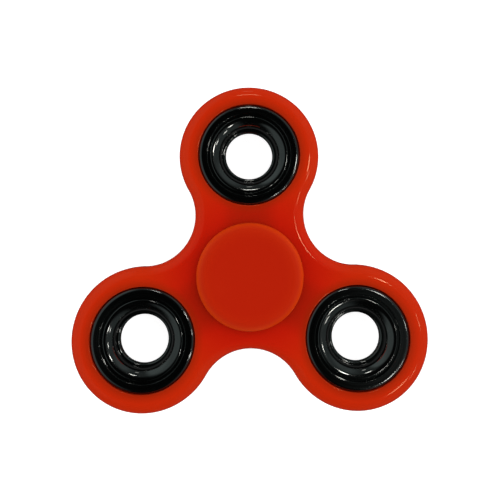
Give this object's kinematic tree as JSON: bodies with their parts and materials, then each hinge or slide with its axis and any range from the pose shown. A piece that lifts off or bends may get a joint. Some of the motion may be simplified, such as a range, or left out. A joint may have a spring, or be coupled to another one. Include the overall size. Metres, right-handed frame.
{
  "type": "fidget spinner",
  "caption": "Three-armed hand spinner with a ball bearing at its hub, a steel weight ring in each arm and a round finger cap on both faces.",
  "frame": {"origin": "where the spin axis meets the resting face of the lower finger cap", "axes": "+Z along the spin axis, out of the upper finger cap; +Y towards the first arm"},
  "size_m": [0.0754, 0.0694, 0.014],
  "materials": {
    "frame_plastic": "red moulded ABS with a fine satin grain and glossy highlights",
    "cap_plastic": "the same red ABS, satin, slightly more orange where its rim is rounded",
    "ring_steel": "black nickel plating, glossy, with fine turning marks",
    "bearing_steel": "ground and polished bearing steel",
    "shield_steel": "pressed bright steel sheet and wire"
  },
  "bodies": {
    "hub": {"finger_cap_bottom": "cap_plastic", "finger_cap_top": "cap_plastic", "bearing_inner_race": "bearing_steel"},
    "rotor": {"spinner_frame": "frame_plastic", "weight_ring_1": "ring_steel", "weight_ring_2": "ring_steel", "weight_ring_3": "ring_steel", "bearing_outer_race": "bearing_steel", "bearing_shield_top": "shield_steel", "bearing_shield_bottom": "shield_steel", "shield_clip_top": "shield_steel", "shield_clip_bottom": "shield_steel"},
    "cage": {"cage_half_top": "shield_steel", "cage_half_bottom": "shield_steel", "cage_rivets": "shield_steel"},
    "ball_1": {"bearing_ball_1": "bearing_steel"},
    "ball_2": {"bearing_ball_2": "bearing_steel"},
    "ball_3": {"bearing_ball_3": "bearing_steel"},
    "ball_4": {"bearing_ball_4": "bearing_steel"},
    "ball_5": {"bearing_ball_5": "bearing_steel"},
    "ball_6": {"bearing_ball_6": "bearing_steel"},
    "ball_7": {"bearing_ball_7": "bearing_steel"}
  },
  "joints": [
    {"name": "rotor_spin", "type": "hinge", "parent": "hub", "child": "rotor", "pos_m": [0, 0, 0.007], "axis": [0, 0, 1], "continuous": true},
    {"name": "cage_orbit", "type": "hinge", "parent": "hub", "child": "cage", "pos_m": [0, 0, 0.007], "axis": [0, 0, 1], "continuous": true},
    {"name": "ball_1_roll", "type": "hinge", "parent": "cage", "child": "ball_1", "pos_m": [0, 0.0075, 0.007], "axis": [0, 0, 1], "continuous": true},
    {"name": "ball_2_roll", "type": "hinge", "parent": "cage", "child": "ball_2", "pos_m": [-0.00586, 0.00468, 0.007], "axis": [0, 0, 1], "continuous": true},
    {"name": "ball_3_roll", "type": "hinge", "parent": "cage", "child": "ball_3", "pos_m": [-0.00731, -0.00167, 0.007], "axis": [0, 0, 1], "continuous": true},
    {"name": "ball_4_roll", "type": "hinge", "parent": "cage", "child": "ball_4", "pos_m": [-0.00325, -0.00676, 0.007], "axis": [0, 0, 1], "continuous": true},
    {"name": "ball_5_roll", "type": "hinge", "parent": "cage", "child": "ball_5", "pos_m": [0.00325, -0.00676, 0.007], "axis": [0, 0, 1], "continuous": true},
    {"name": "ball_6_roll", "type": "hinge", "parent": "cage", "child": "ball_6", "pos_m": [0.00731, -0.00167, 0.007], "axis": [0, 0, 1], "continuous": true},
    {"name": "ball_7_roll", "type": "hinge", "parent": "cage", "child": "ball_7", "pos_m": [0.00586, 0.00468, 0.007], "axis": [0, 0, 1], "continuous": true}
  ],
  "couplings": [
    {"joint": "cage_orbit", "follows": "rotor_spin", "ratio": 0.6323},
    {"joint": "ball_1_roll", "follows": "rotor_spin", "ratio": 1.7573},
    {"joint": "ball_2_roll", "follows": "rotor_spin", "ratio": 1.7573},
    {"joint": "ball_3_roll", "follows": "rotor_spin", "ratio": 1.7573},
    {"joint": "ball_4_roll", "follows": "rotor_spin", "ratio": 1.7573},
    {"joint": "ball_5_roll", "follows": "rotor_spin", "ratio": 1.7573},
    {"joint": "ball_6_roll", "follows": "rotor_spin", "ratio": 1.7573},
    {"joint": "ball_7_roll", "follows": "rotor_spin", "ratio": 1.7573}
  ]
}
